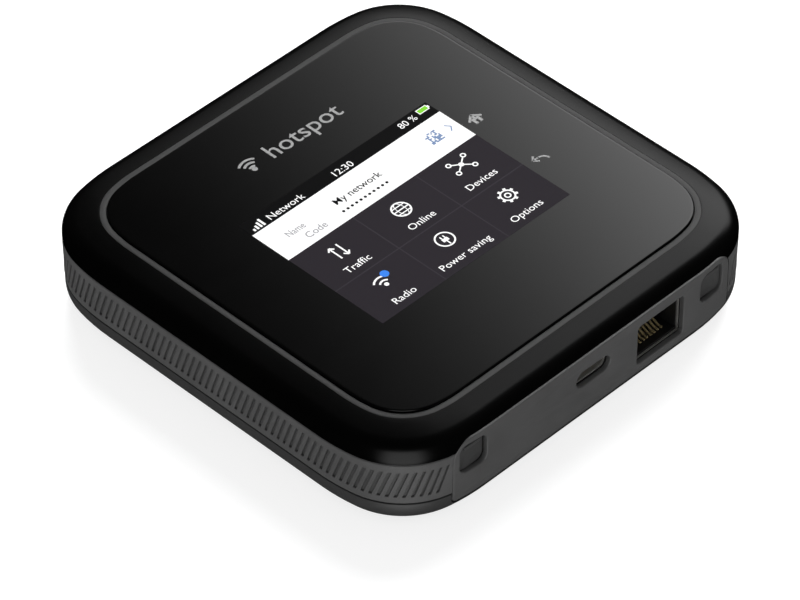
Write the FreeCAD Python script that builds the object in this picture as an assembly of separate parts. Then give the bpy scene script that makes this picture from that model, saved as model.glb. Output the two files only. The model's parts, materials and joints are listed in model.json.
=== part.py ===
import FreeCAD, Part
import math
import os

# A pocket mobile router, in millimetres.
# Origin at the centre of the underside; +X to the right of someone reading the screen,
# +Y away from the socket side, +Z up out of the screen.

V = FreeCAD.Vector

# ---- driving dimensions -----------------------------------------------------

HALF = 52.5                     # half the width and half the depth
HEIGHT = 21.5                   # top of the cover lens
SOFT_TURN = 11.0                # degrees by which a corner eases in and out

SLIP = 0.1                      # gap between a moving piece and its opening
SEAM = 0.3                      # visible joint between outer shells

# screen side
LENS_THICK, LENS_GAP = 1.4, 0.3       # gap all round the lens
TRIM_HALF, TRIM_WIDE, TRIM_TOP, TRIM_THICK = 45.55, 1.35, 21.0, 0.7
BEZEL_RUN, BEZEL_DROP = 3.45, 0.6     # slope of the frame just outside the trim
SHOULDER_RADIUS = 4.0
FRAME_WALL, FRAME_GUSSET = 1.4, 1.8
LEDGE_DEEP, LEDGE_THICK = 12.5, 1.2   # shelf under the lens, measured in from the outline
GLUE = 0.2
SENSOR_THICK = 0.3
SCREEN_X, SCREEN_Y = 1.0, -0.2        # centre of the picture
MODULE_WIDE, MODULE_DEEP, MODULE_THICK = 60.0, 46.0, 2.5

# side walls
GRIP_LOW, GRIP_HIGH = 5.8, 15.9
GRIP_FOOT_INSET, GRIP_HEAD_INSET, GRIP_EDGE = 0.12, 0.04, 0.3
PANEL_LOW, PANEL_HIGH = 2.6, 18.1
PANEL_LEFT, PANEL_RIGHT = -38.3, 39.2
PANEL_THICK, PANEL_FOOT_RADIUS, PANEL_BEND = 1.3, 8.0, 5.8    # curls under below the bend
PANEL_TOP_ROUND, PANEL_LOW_ROUND = 4.5, 1.6
CHASSIS_INSET, CHASSIS_WALL = 1.9, 1.5
CHASSIS_LOW, CHASSIS_HIGH = 3.4, 15.7
FLOOR_LOW, FLOOR_HIGH = 8.6, 9.4      # plate between battery bay and electronics

# back cover
COVER_INSET, COVER_TOP, COVER_RADIUS = 0.12, 5.5, 4.4
COVER_FLOOR, COVER_WALL = 1.4, 1.2
TONGUE_WIDE, TONGUE_THICK, TONGUE_TOP = 6.0, 0.9, 7.4

# electronics
BOARD_LOW, BOARD_HIGH, BOARD_INSET = 10.0, 10.8, 4.4
BATTERY_WIDE, BATTERY_DEEP, BATTERY_LOW, BATTERY_HIGH = 72.0, 66.0, 1.9, 8.3
BATTERY_Y = 4.0                       # centre of the battery
BATTERY_FRONT = BATTERY_Y - BATTERY_DEEP / 2
BAY_GAP, BAY_WALL = 0.4, 1.1          # round the battery
LEAF_LOW, LEAF_HIGH, LEAF_BOW, LEAF_THICK = 4.5, 6.9, 1.65, 0.2

# sockets on the front
JACK_X, JACK_LOW, JACK_HIGH, JACK_WIDE, JACK_DEEP = 18.55, 5.6, 16.0, 13.1, 16.0
JACK_SHEET = 0.25
JACK_HOLE_WIDE, JACK_HOLE_LOW, JACK_HOLE_HIGH, JACK_HOLE_DEEP = 11.9, 6.5, 13.4, 12.5
LATCH_WIDE, LATCH_HIGH = 6.0, 15.2
CONTACT_PITCH = 1.02
USB_X, USB_WIDE, USB_HIGH, USB_DEEP, USB_SHEET = -0.6, 8.94, 3.26, 7.6, 0.3
AERIAL_X, AERIAL_Z = 33.4, 13.1       # antenna sockets, one each side
AERIAL_BORE, AERIAL_BARREL = 1.7, 2.3
AERIAL_MOUTH = -50.3
CAP_WIDE, CAP_HIGH, CAP_ROUND = 6.8, 7.0, 1.8
CAP_SUNK, CAP_LIP = 1.2, 0.6          # depth of the cover's face and height of its lip

BOSS = 41.0                     # case screws stand at plus and minus this in X and Y
BOSS_RADIUS, SCREW_RADIUS = 2.4, 0.8

FACE = -HALF                    # front plane
MOUTH = FACE + PANEL_THICK + 0.05     # where the sockets' mouths stand

POWER_X, POWER_Z, POWER_WIDE, POWER_HIGH, POWER_TRAVEL = 20.0, 11.6, 12.0, 3.2, 0.4
RESET_X, RESET_Y, RESET_RADIUS, RESET_TRAVEL = -2.0, -39.5, 1.3, 0.3
SIM_X, SIM_Y, SIM_LOW, SIM_LONG, SIM_WIDE, SIM_THICK = -18.0, -40.0, 8.9, 12.3, 8.8, 0.67
SIM_TRAVEL = 10.0


# Each plan is a square with eased corners: half its width, then the radii of the
# arc that eases a corner in and out and of the one that turns it.
CASE = (HALF, 45.0, 17.0)
TRIM = (TRIM_HALF, 30.7, 12.1)


# ---- outline ----------------------------------------------------------------

def travel(plan, inset):
    """Straights and arcs of a plan, anticlockwise from the front left: point, heading, size, turn."""
    half, soft, tight = plan
    ease = math.radians(SOFT_TURN)
    corner = soft * (1 + math.sin(ease) - math.cos(ease)) + tight * (math.cos(ease) - math.sin(ease))
    straight = 2 * (half - corner)
    arcs = [(soft, SOFT_TURN), (tight, 90.0 - 2 * SOFT_TURN), (soft, SOFT_TURN)]
    point = V(-straight / 2, -half + inset, 0)
    heading = 0.0
    for side in range(4):
        yield point, heading, straight, 0.0
        point = point + direction(heading) * straight
        for full_radius, turn in arcs:
            radius = full_radius - inset
            yield point, heading, radius, turn
            centre = point + direction(heading + 90) * radius
            heading += turn
            point = centre - direction(heading + 90) * radius


def direction(degrees):
    return V(math.cos(math.radians(degrees)), math.sin(math.radians(degrees)), 0)


def outline(inset, z, plan=CASE):
    """A plan's outline, this far inside its largest line, as a closed wire."""
    edges = []
    for point, heading, size, turn in travel(plan, inset):
        point = point + V(0, 0, z)
        if turn == 0:
            edges.append(Part.LineSegment(point, point + direction(heading) * size).toShape())
            continue
        centre = point + direction(heading + 90) * size
        middle = centre - direction(heading + turn / 2 + 90) * size
        end = centre - direction(heading + turn + 90) * size
        edges.append(Part.Arc(point, middle, end).toShape())
    return Part.Wire(edges)


def slab(inset, low, high, plan=CASE):
    """A plate of the outline's shape."""
    return Part.Face(outline(inset, low, plan)).extrude(V(0, 0, high - low))


def section(steps):
    """Closed wire in the X-Z plane from (inset, z) points; four numbers are an arc through a middle."""
    edges = []
    here = steps[-1][-2:]
    for step in steps:
        there = step[-2:]
        start, end = V(here[0], 0, here[1]), V(there[0], 0, there[1])
        if len(step) == 4:
            edges.append(Part.Arc(start, V(step[0], 0, step[1]), end).toShape())
        else:
            edges.append(Part.LineSegment(start, end).toShape())
        here = there
    return Part.Wire(edges)


def swept(steps):
    """The section carried once round the case: inset is measured inwards from its largest line."""
    pieces = []
    for point, heading, size, turn in travel(CASE, 0.0):
        face = Part.Face(section(steps))
        # the section's X runs inwards, to the left of the heading
        face.rotate(V(0, 0, 0), V(0, 0, 1), heading + 90)
        face.translate(point)
        if turn == 0:
            pieces.append(face.extrude(direction(heading) * size))
        else:
            centre = point + direction(heading + 90) * size
            pieces.append(face.revolve(centre, V(0, 0, 1), turn))
    return join(pieces)


# ---- simple solids ----------------------------------------------------------

def join(pieces):
    return pieces[0].fuse(pieces[1:]).removeSplitter()


def cut(shape, *tools):
    for tool in tools:
        shape = shape.cut(tool)
    return shape.removeSplitter()


def block(x, y, z):
    """A box between three (low, high) pairs."""
    return Part.makeBox(x[1] - x[0], y[1] - y[0], z[1] - z[0], V(x[0], y[0], z[0]))


def plate(x, y, wide, deep, low, high, radius=0.0):
    """A box on a centre, its upright edges rounded."""
    solid = block((x - wide / 2, x + wide / 2), (y - deep / 2, y + deep / 2), (low, high))
    return solid.makeFillet(radius, upright(solid)) if radius else solid


def upright(solid):
    return [e for e in solid.Edges if abs(e.tangentAt(e.FirstParameter).z) > 0.99]


def port(x, z, wide, high, front, back, radius):
    """A box on a centre in the X-Z plane, running from front to back, its long edges rounded."""
    solid = block((x - wide / 2, x + wide / 2), (front, back), (z - high / 2, z + high / 2))
    edges = [e for e in solid.Edges if abs(e.tangentAt(e.FirstParameter).y) > 0.99]
    return solid.makeFillet(min(radius, high / 2 - 0.01), edges)


def post(x, y, radius, low, high):
    return Part.makeCylinder(radius, high - low, V(x, y, low))


def barrel(x, z, radius, front, back):
    return Part.makeCylinder(radius, back - front, V(x, front, z), V(0, 1, 0))


def mirrored(shape):
    return shape.mirror(V(0, 0, 0), V(1, 0, 0))


def group(pieces):
    return Part.makeCompound(pieces)


PARTS = {}


def keep(name, shape):
    PARTS[name] = shape


# ---- outer shells -----------------------------------------------------------

SHOULDER_TILT = math.atan2(BEZEL_DROP, BEZEL_RUN)
TRIM_INSET = HALF - TRIM_HALF
BEZEL_TOP_AT_CENTRE = TRIM_TOP - (TRIM_INSET - SHOULDER_RADIUS) * math.tan(SHOULDER_TILT)
SHOULDER_Z = BEZEL_TOP_AT_CENTRE - SHOULDER_RADIUS / math.cos(SHOULDER_TILT)
LEDGE_TOP = HEIGHT - LENS_THICK - GLUE


def shoulder_point(tilt):
    """Point on the frame's rounded shoulder, tilt in radians from straight up."""
    return (SHOULDER_RADIUS * (1 - math.sin(tilt)), SHOULDER_Z + SHOULDER_RADIUS * math.cos(tilt))


def panel_outline(grow=0.0, front=FACE - 5, back=FACE + 8):
    """The port panel's front view as a prism: round upper corners, small round lower ones."""
    x = (PANEL_LEFT - grow, PANEL_RIGHT + grow)
    solid = block(x, (front, back), (PANEL_LOW - grow, PANEL_HIGH + grow))
    along = [e for e in solid.Edges if abs(e.tangentAt(e.FirstParameter).y) > 0.99]
    top = [e for e in along if e.Vertexes[0].Z > 10]
    solid = solid.makeFillet(PANEL_TOP_ROUND + grow, top)
    along = [e for e in solid.Edges if abs(e.tangentAt(e.FirstParameter).y) > 0.99]
    low = [e for e in along if e.BoundBox.ZMax < 10 and e.BoundBox.ZMax < PANEL_LOW - grow + 0.01]
    return solid.makeFillet(PANEL_LOW_ROUND + grow, low)


def top_frame():
    turn = shoulder_point(SHOULDER_TILT)
    middle = shoulder_point((math.pi / 2 + SHOULDER_TILT) / 2)
    shelf = LEDGE_TOP - LEDGE_THICK
    frame = swept([
        (0, GRIP_HIGH + SLIP), (0, SHOULDER_Z), (*middle, *turn), (TRIM_INSET, TRIM_TOP),
        (LEDGE_DEEP, TRIM_TOP), (LEDGE_DEEP, shelf),
        (FRAME_WALL + FRAME_GUSSET, shelf), (FRAME_WALL, shelf - FRAME_GUSSET),
        (FRAME_WALL, GRIP_HIGH + SLIP)])
    nest = join([slab(0, TRIM_TOP - TRIM_THICK, HEIGHT, TRIM), slab(TRIM_WIDE, LEDGE_TOP, HEIGHT, TRIM)])
    bosses = []
    for x in (-BOSS, BOSS):
        for y in (-BOSS, BOSS):
            bosses.append(post(x, y, BOSS_RADIUS, FLOOR_HIGH, shelf))
    frame = join([frame] + bosses)
    holes = [post(x, y, SCREW_RADIUS, FLOOR_HIGH - 1, 15.6) for x in (-BOSS, BOSS) for y in (-BOSS, BOSS)]
    notch = panel_outline(SLIP).cut(slab(PANEL_THICK + SLIP, 0, HEIGHT))
    return cut(frame, nest, notch, *holes)


def lens_trim():
    low = TRIM_TOP - TRIM_THICK
    return cut(slab(0, low, TRIM_TOP, TRIM), slab(TRIM_WIDE, low - 1, HEIGHT, TRIM))


def cover_lens():
    lens = slab(TRIM_WIDE + LENS_GAP, HEIGHT - LENS_THICK, HEIGHT, TRIM)
    rim = [e for e in lens.Edges if e.BoundBox.ZMin > HEIGHT - 0.01]
    return lens.makeChamfer(0.25, rim)


def grip_band():
    edge = (GRIP_HEAD_INSET, GRIP_HIGH - GRIP_EDGE)
    belly = (0.0, (GRIP_LOW + GRIP_HIGH) / 2)
    band = swept([
        (GRIP_FOOT_INSET, GRIP_LOW), (*belly, *edge), (GRIP_HEAD_INSET + GRIP_EDGE, GRIP_HIGH),
        (CHASSIS_INSET, GRIP_HIGH), (CHASSIS_INSET, GRIP_LOW)])
    opening = port(POWER_X, POWER_Z, POWER_WIDE + 2 * SLIP, POWER_HIGH + 2 * SLIP, 45, 55, 1.7)
    return cut(band, panel_outline(0.15), opening)


def port_panel():
    foot_drop = PANEL_BEND - PANEL_LOW
    foot_inset = PANEL_FOOT_RADIUS - math.sqrt(PANEL_FOOT_RADIUS ** 2 - foot_drop ** 2)
    half_drop = foot_drop / 2
    mid_inset = PANEL_FOOT_RADIUS - math.sqrt(PANEL_FOOT_RADIUS ** 2 - half_drop ** 2)
    wall = swept([
        (foot_inset, PANEL_LOW), (mid_inset, PANEL_BEND - half_drop, 0, PANEL_BEND), (0, PANEL_HIGH - 0.2),
        (0.2, PANEL_HIGH), (PANEL_THICK, PANEL_HIGH), (PANEL_THICK, PANEL_LOW)])
    wall = wall.common(panel_outline())
    through = (FACE - 1, FACE + 3)
    jack = port(JACK_X, 10.55, 13.2, 9.9, *through, 0.9)
    usb = port(USB_X, usb_z(), 9.5, 3.8, *through, 1.89)
    caps = [port(x, AERIAL_Z, CAP_WIDE, CAP_HIGH, *through, CAP_ROUND) for x in (-AERIAL_X, AERIAL_X)]
    return cut(wall, jack, usb, *caps)


def chassis():
    low_inset = CHASSIS_INSET + 0.5
    inner = CHASSIS_INSET + CHASSIS_WALL
    wall = swept([
        (CHASSIS_INSET, GRIP_LOW), (CHASSIS_INSET, CHASSIS_HIGH), (inner, CHASSIS_HIGH),
        (inner, CHASSIS_LOW), (low_inset, CHASSIS_LOW), (low_inset, GRIP_LOW)])
    pad = cut(slab(PANEL_THICK, GRIP_LOW, 15.0), slab(CHASSIS_INSET, GRIP_LOW - 1, 16))
    pad = pad.common(block((PANEL_LEFT + 2, PANEL_RIGHT - 2), (FACE, FACE + 6), (0, 20)))
    floor = slab(inner, FLOOR_LOW, FLOOR_HIGH)
    outer = 2 * (BAY_GAP + BAY_WALL)
    bay = cut(plate(0, BATTERY_Y, BATTERY_WIDE + outer, BATTERY_DEEP + outer, 2.0, FLOOR_LOW, 1.5),
              plate(0, BATTERY_Y, BATTERY_WIDE + 2 * BAY_GAP, BATTERY_DEEP + 2 * BAY_GAP, 1, FLOOR_LOW, 0.5))
    guide = post(RESET_X, RESET_Y, 3.0, 7.2, FLOOR_LOW)
    rests = [post(px, py, 2.0, FLOOR_HIGH, BOARD_LOW) for px, py in board_screw_places()]
    body = join([wall, pad, floor, bay, guide] + rests)
    cuts = [
        block((JACK_X - 6.8, JACK_X + 6.8), (FACE, MOUTH + JACK_DEEP + 0.3), (5.3, 17)),
        port(USB_X, usb_z(), USB_WIDE + 0.4, USB_HIGH + 0.4, FACE, FACE + 5, 1.7),
        block((SIM_X - SIM_LONG / 2 - SIM_TRAVEL - 2, -10.8), (-46.2, -33.8),
              (FLOOR_LOW - 1, FLOOR_HIGH + 1)),
        block((-8.5, 8.5), (BATTERY_FRONT - 3.3, BATTERY_FRONT - 0.2), (2.8, FLOOR_HIGH + 1)),
        post(RESET_X, RESET_Y, RESET_RADIUS + SLIP, 6, FLOOR_HIGH + 1),
        post(RESET_X, RESET_Y, 2.5, 8.0, FLOOR_HIGH + 1),
        port(POWER_X, POWER_Z, POWER_WIDE + 2 * SLIP, POWER_HIGH + 2 * SLIP, 45, 55, 1.7)]
    for side in (-1, 1):
        cuts.append(block((side * AERIAL_X - 3.6, side * AERIAL_X + 3.6), (FACE, FACE + 5), (9.4, 17)))
    for px in (-BOSS, BOSS):
        for py in (-BOSS, BOSS):
            cuts.append(post(px, py, SCREW_RADIUS + 0.1, 7, 11))
    for px, py in board_screw_places():
        cuts.append(post(px, py, 0.5, FLOOR_LOW - 1, BOARD_LOW + 1))
    return cut(body, *cuts)


def back_cover():
    top = COVER_TOP
    inset, wall = COVER_INSET, COVER_WALL
    mid = COVER_RADIUS * (1 - math.sqrt(0.5))
    rim = swept([
        (inset + COVER_RADIUS, 0), (inset + mid, mid, inset, COVER_RADIUS), (inset, top),
        (inset + wall, top), (inset + wall, COVER_RADIUS + 0.2),
        (inset + wall + 1.6, COVER_FLOOR), (inset + COVER_RADIUS + 2, COVER_FLOOR),
        (inset + COVER_RADIUS + 2, 0)])
    floor = slab(inset + COVER_RADIUS + 1, 0, COVER_FLOOR)
    tongues = []
    for side in range(4):
        for x in (-24, 24):
            y = HALF - CHASSIS_INSET - CHASSIS_WALL - 0.2
            tongue = block((x - TONGUE_WIDE / 2, x + TONGUE_WIDE / 2), (y - TONGUE_THICK, y),
                           (COVER_FLOOR - 0.5, TONGUE_TOP))
            tongue.rotate(V(0, 0, 0), V(0, 0, 1), 90 * side)
            beside_jack = side == 2 and x < 0
            if not beside_jack:
                tongues.append(tongue)
    ribs = [block((-34, 34), (y - 0.3, y + 0.3), (COVER_FLOOR - 0.5, 1.7)) for y in (-20, 4, 28)]
    cover = join([rim, floor] + tongues + ribs)
    nail = port(-20, top, 14, 1.6, HALF - inset - 0.7, HALF + 1, 0.7)
    return cut(cover, panel_outline(SEAM), nail)


# ---- screen -----------------------------------------------------------------

def lens_adhesive():
    low, high = LEDGE_TOP, LEDGE_TOP + GLUE
    return cut(slab(TRIM_WIDE + LENS_GAP + 0.4, low, high, TRIM), slab(5.0, low - 1, high + 1, TRIM))


def touch_sensor():
    high = HEIGHT - LENS_THICK
    return plate(4.0, SCREEN_Y, 72, 56, high - SENSOR_THICK, high, 2.0)


def display_module():
    high = HEIGHT - LENS_THICK - SENSOR_THICK
    return plate(SCREEN_X, SCREEN_Y, MODULE_WIDE, MODULE_DEEP, high - MODULE_THICK, high, 0.8)


MODULE_LOW = HEIGHT - LENS_THICK - SENSOR_THICK - MODULE_THICK
SPREADER_LOW, SPREADER_HIGH = 14.4, 15.2


def display_bracket():
    shell = plate(SCREEN_X, SCREEN_Y, MODULE_WIDE + 2.4, MODULE_DEEP + 2.4,
                  SPREADER_HIGH, MODULE_LOW + 1.4, 1.5)
    module = plate(SCREEN_X, SCREEN_Y, MODULE_WIDE + 0.2, MODULE_DEEP + 0.2, MODULE_LOW, 30, 0.8)
    hollow = plate(SCREEN_X, SCREEN_Y, MODULE_WIDE - 4, MODULE_DEEP - 4, SPREADER_HIGH - 1, 30, 1.0)
    way_out = block((-12, 8), (19.5, 26), (SPREADER_HIGH - 1, MODULE_LOW))
    return cut(shell, module, hollow, way_out)


def display_flex():
    """A flat ribbon from under the picture to the board, folded twice."""
    thick = 0.2
    low, high = BOARD_HIGH + 1.0, MODULE_LOW
    under = block((-8, 4), (12, 30 + thick), (high - thick, high))
    down = block((-8, 4), (30, 30 + thick), (low, high))
    along = block((-8, 4), (30, 33), (low, low + thick))
    return join([under, down, along])


# ---- board and what stands on it ---------------------------------------------

def board_screw_places():
    return [(-30, 43), (4, 43), (-44, 0), (44, 0), (-8, -43.5)]


def main_board():
    board = slab(BOARD_INSET, BOARD_LOW, BOARD_HIGH)
    cuts = [block((JACK_X - 7.0, JACK_X + 7.0), (FACE, MOUTH + JACK_DEEP + 0.5), (9, 12)),
            block((POWER_X - 7.6, POWER_X + 7.6), (46.9, HALF), (9, 12))]
    for x in (-BOSS, BOSS):
        for y in (-BOSS, BOSS):
            cuts.append(post(x, y, BOSS_RADIUS + 0.4, 9, 12))
    for x, y in board_screw_places():
        cuts.append(post(x, y, 0.6, 9, 12))
    return cut(board, *cuts)


def chip(x, y, wide, deep, high=1.1):
    return plate(x, y, wide, deep, BOARD_HIGH, BOARD_HIGH + high, 0.3)


def shield(x, y, wide, deep, high=2.6):
    """A pressed metal can, open towards the board."""
    can = plate(x, y, wide, deep, BOARD_HIGH, BOARD_HIGH + high, 0.8)
    room = plate(x, y, wide - 0.4, deep - 0.4, BOARD_HIGH - 1, BOARD_HIGH + high - 0.2, 0.6)
    return cut(can, room)


def screws(places, head_radius, head, shank, shank_radius):
    """Pan-head screws: head and shank are (low, high) in Z."""
    pieces = []
    for x, y in places:
        drive = post(x, y, head_radius * 0.35, head[0] - 1, head[0] + 0.4)
        if head[0] > shank[0]:
            drive = post(x, y, head_radius * 0.35, head[1] - 0.4, head[1] + 1)
        screw = post(x, y, head_radius, *head).fuse(post(x, y, shank_radius, *shank))
        pieces.append(cut(screw, drive))
    return group(pieces)


def heat_spreader():
    sheet = plate(0, 2, 76, 72, SPREADER_LOW, SPREADER_HIGH, 3.0)
    return cut(sheet, block((-10, 6), (29, 34), (14, 16)))


# ---- sockets ----------------------------------------------------------------

def usb_z():
    return BOARD_HIGH + USB_HIGH / 2


def rj45_shell():
    x = (JACK_X - JACK_WIDE / 2, JACK_X + JACK_WIDE / 2)
    inner = (x[0] + JACK_SHEET, x[1] - JACK_SHEET)
    back = MOUTH + JACK_DEEP
    can = block(x, (MOUTH, back), (JACK_LOW, JACK_HIGH))
    room = block(inner, (MOUTH - 1, back - JACK_SHEET), (JACK_LOW + JACK_SHEET, JACK_HIGH - JACK_SHEET))
    tabs = []
    for y in (MOUTH + 5, MOUTH + 11):
        tabs.append(block((x[0] - 1.4, x[0]), (y, y + 2), (BOARD_HIGH, BOARD_HIGH + JACK_SHEET)))
        tabs.append(block((x[1], x[1] + 1.4), (y, y + 2), (BOARD_HIGH, BOARD_HIGH + JACK_SHEET)))
    return join([cut(can, room)] + tabs)


def jack_wire(index, grow=0.0):
    """One spring contact: a short foot at the front, then a ramp that rises to the rear."""
    x = JACK_X + (index - 3.5) * CONTACT_PITCH
    path = [(-49.6, 7.0), (-48.7, 7.0), (-43.2, 9.6), (-40.2, 9.6)]
    thick = 0.3
    upper = [V(x, y, z + thick + grow) for y, z in path]
    lower = [V(x, y, z - grow) for y, z in reversed(path)]
    face = Part.Face(Part.makePolygon(upper + lower + upper[:1]))
    wide = 0.45 + 2 * grow
    face.translate(V(-wide / 2, 0, 0))
    return face.extrude(V(wide, 0, 0))


def rj45_housing():
    x = JACK_WIDE / 2 - JACK_SHEET
    back = MOUTH + JACK_DEEP - JACK_SHEET
    low, high = JACK_LOW + JACK_SHEET, JACK_HIGH - JACK_SHEET
    body = block((JACK_X - x, JACK_X + x), (MOUTH + 0.3, back), (low, high))
    hole = JACK_HOLE_WIDE / 2
    deep = MOUTH + JACK_HOLE_DEEP
    cavity = block((JACK_X - hole, JACK_X + hole), (MOUTH - 1, deep), (JACK_HOLE_LOW, JACK_HOLE_HIGH))
    latch = block((JACK_X - LATCH_WIDE / 2, JACK_X + LATCH_WIDE / 2), (MOUTH - 1, deep),
                  (JACK_HOLE_HIGH - 1, LATCH_HIGH))
    comb = block((JACK_X - 4.3, JACK_X + 4.3), (-46.6, deep), (JACK_HOLE_LOW, 8.4))
    wires = [jack_wire(k, 0.05) for k in range(8)]
    body = cut(body, cavity, latch)
    return cut(join([body, comb]), *wires)


def usb_c_shell():
    shell = port(USB_X, usb_z(), USB_WIDE, USB_HIGH, MOUTH, MOUTH + USB_DEEP, USB_HIGH / 2)
    room = port(USB_X, usb_z(), USB_WIDE - 2 * USB_SHEET, USB_HIGH - 2 * USB_SHEET,
                MOUTH - 1, MOUTH + USB_DEEP - 0.4, USB_HIGH)
    return cut(shell, room)


def usb_c_tongue():
    z = usb_z()
    tongue = block((USB_X - 3.35, USB_X + 3.35), (MOUTH + 0.9, MOUTH + 6.2), (z - 0.3, z + 0.3))
    root = port(USB_X, z, USB_WIDE - 2 * USB_SHEET, USB_HIGH - 2 * USB_SHEET,
                MOUTH + 6.2, MOUTH + USB_DEEP - 0.4, USB_HIGH)
    return join([tongue, root])


def usb_c_contacts():
    z = usb_z()
    pads = []
    for k in range(12):
        x = USB_X + (k - 5.5) * 0.5
        for low in (z - 0.35, z + 0.3):
            pads.append(block((x - 0.12, x + 0.12), (MOUTH + 1.3, MOUTH + 6.0), (low, low + 0.05)))
    return group(pads)


def antenna_socket():
    """Round barrel on a square foot, for the right-hand side."""
    back = AERIAL_MOUTH + 6.5
    foot = block((AERIAL_X - 3, AERIAL_X + 3), (AERIAL_MOUTH + 1.6, back), (BOARD_HIGH, BOARD_HIGH + 4.6))
    tube = barrel(AERIAL_X, AERIAL_Z, AERIAL_BARREL, AERIAL_MOUTH, AERIAL_MOUTH + 1.6)
    return cut(join([foot, tube]), barrel(AERIAL_X, AERIAL_Z, AERIAL_BORE, AERIAL_MOUTH - 1, back - 1.5))


def antenna_insulator():
    ring = barrel(AERIAL_X, AERIAL_Z, AERIAL_BORE, AERIAL_MOUTH + 3.6, AERIAL_MOUTH + 5)
    return cut(ring, barrel(AERIAL_X, AERIAL_Z, 0.25, AERIAL_MOUTH, AERIAL_MOUTH + 6))


def antenna_pin():
    return barrel(AERIAL_X, AERIAL_Z, 0.25, AERIAL_MOUTH + 1.4, AERIAL_MOUTH + 5)


def antenna_cover():
    """Rubber plug at the bottom of its pocket, with a lip along the top to pull on."""
    front, back = FACE + CAP_SUNK, AERIAL_MOUTH - 0.05
    face = port(AERIAL_X, AERIAL_Z, CAP_WIDE - 2 * SLIP, CAP_HIGH - 2 * SLIP, front, back, CAP_ROUND - SLIP)
    lip = port(AERIAL_X, AERIAL_Z + 2.3, 4.4, 0.9, front - CAP_LIP, front, 0.4)
    stem = barrel(AERIAL_X, AERIAL_Z, AERIAL_BORE - SLIP, back, AERIAL_MOUTH + 3.2)
    relief = barrel(AERIAL_X, AERIAL_Z, 0.5, AERIAL_MOUTH + 1.0, AERIAL_MOUTH + 4)
    return cut(join([face, lip, stem]), relief)


# ---- battery, card and buttons ------------------------------------------------

def battery_pack():
    pack = plate(0, BATTERY_Y, BATTERY_WIDE, BATTERY_DEEP, BATTERY_LOW, BATTERY_HIGH, 2.0)
    across = (BATTERY_FRONT - 1, BATTERY_FRONT + 0.4)
    nests = [block((x - 1.1, x + 1.1), across, (LEAF_LOW - 0.1, BATTERY_HIGH + 1)) for x in contact_places()]
    return cut(pack, *nests)


def contact_places():
    return [-5.25, -1.75, 1.75, 5.25]


def battery_pads():
    back = BATTERY_FRONT + 0.4
    return group([block((x - 1.0, x + 1.0), (back - 0.1, back), (4.6, 6.8)) for x in contact_places()])


def battery_connector():
    """Hangs from the board through the floor plate, ahead of the battery."""
    front, back = BATTERY_FRONT - 3.0, BATTERY_FRONT - 0.45
    body = block((-8, 8), (front, back), (3.6, BOARD_LOW))
    slots = [block((x - 0.6, x + 0.6), (front + 1.5, back + 1), (LEAF_LOW - 0.3, LEAF_HIGH + 0.5))
             for x in contact_places()]
    return cut(body, *slots)


def battery_contacts():
    """Four bowed leaf springs, one in each slot of the connector, that touch the battery's pads."""
    root = BATTERY_FRONT - 3.0 + 1.55
    tip = root + LEAF_BOW
    middle = (LEAF_LOW + LEAF_HIGH) / 2
    inside = (LEAF_LOW + 1.5 * LEAF_THICK, LEAF_HIGH - 1.5 * LEAF_THICK)
    leaves = []
    for x in contact_places():
        outer = Part.Arc(V(x, root, LEAF_LOW), V(x, tip, middle), V(x, root, LEAF_HIGH)).toShape()
        turns = V(x, root, inside[1]), V(x, tip - LEAF_THICK, middle), V(x, root, inside[0])
        inner = Part.Arc(*turns).toShape()
        low = Part.makeLine(V(x, root, inside[0]), V(x, root, LEAF_LOW))
        high = Part.makeLine(V(x, root, LEAF_HIGH), V(x, root, inside[1]))
        face = Part.Face(Part.Wire([outer, high, inner, low]))
        face.translate(V(-0.4, 0, 0))
        leaves.append(face.extrude(V(0.8, 0, 0)))
    return group(leaves)


def sim_socket():
    x = (SIM_X - SIM_LONG / 2 - 0.4, SIM_X + SIM_LONG / 2 + 1.0)
    low = SIM_LOW - 0.35
    tray = block(x, (SIM_Y - SIM_WIDE / 2 - 0.8, SIM_Y + SIM_WIDE / 2 + 0.8), (low, BOARD_LOW))
    card = block((x[0] - 1, SIM_X + SIM_LONG / 2 + SLIP),
                 (SIM_Y - SIM_WIDE / 2 - SLIP, SIM_Y + SIM_WIDE / 2 + SLIP),
                 (SIM_LOW - 0.07, SIM_LOW + SIM_THICK + 0.08))
    grip = block((x[0] - 1, x[0] + 4), (SIM_Y - 2.6, SIM_Y + 2.6), (low - 1, SIM_LOW + 0.1))
    return cut(tray, card, grip)


def sim_card():
    card = block((SIM_X - SIM_LONG / 2, SIM_X + SIM_LONG / 2),
                 (SIM_Y - SIM_WIDE / 2, SIM_Y + SIM_WIDE / 2), (SIM_LOW, SIM_LOW + SIM_THICK))
    corner = block((-1.2, 1.2), (-1.2, 1.2), (SIM_LOW - 1, SIM_LOW + 2))
    corner.rotate(V(0, 0, 0), V(0, 0, 1), 45)
    corner.translate(V(SIM_X + SIM_LONG / 2, SIM_Y + SIM_WIDE / 2, 0))
    return cut(card, corner)


WALL_INSIDE = HALF - CHASSIS_INSET - CHASSIS_WALL


def power_button():
    """Oblong cap through the grip, a flange behind the wall and a short stem to the switch."""
    cap = port(POWER_X, POWER_Z, POWER_WIDE, POWER_HIGH, WALL_INSIDE - 0.1, HALF - 0.05, 1.6)
    flange = port(POWER_X, POWER_Z, POWER_WIDE + 2, POWER_HIGH + 1.0,
                  WALL_INSIDE - 0.9, WALL_INSIDE - 0.1, 2.0)
    stem = barrel(POWER_X, 11.7, 0.9, WALL_INSIDE - 1.6, WALL_INSIDE - 0.9)
    return join([cap, flange, stem])


def power_switch():
    tip = WALL_INSIDE - 1.6 - POWER_TRAVEL - 0.05
    plunger = barrel(POWER_X, 11.7, 0.7, tip - 0.8, tip)
    return join([block((POWER_X - 3, POWER_X + 3), (tip - 3.6, tip - 0.8), (BOARD_HIGH, 12.8)), plunger])


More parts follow.
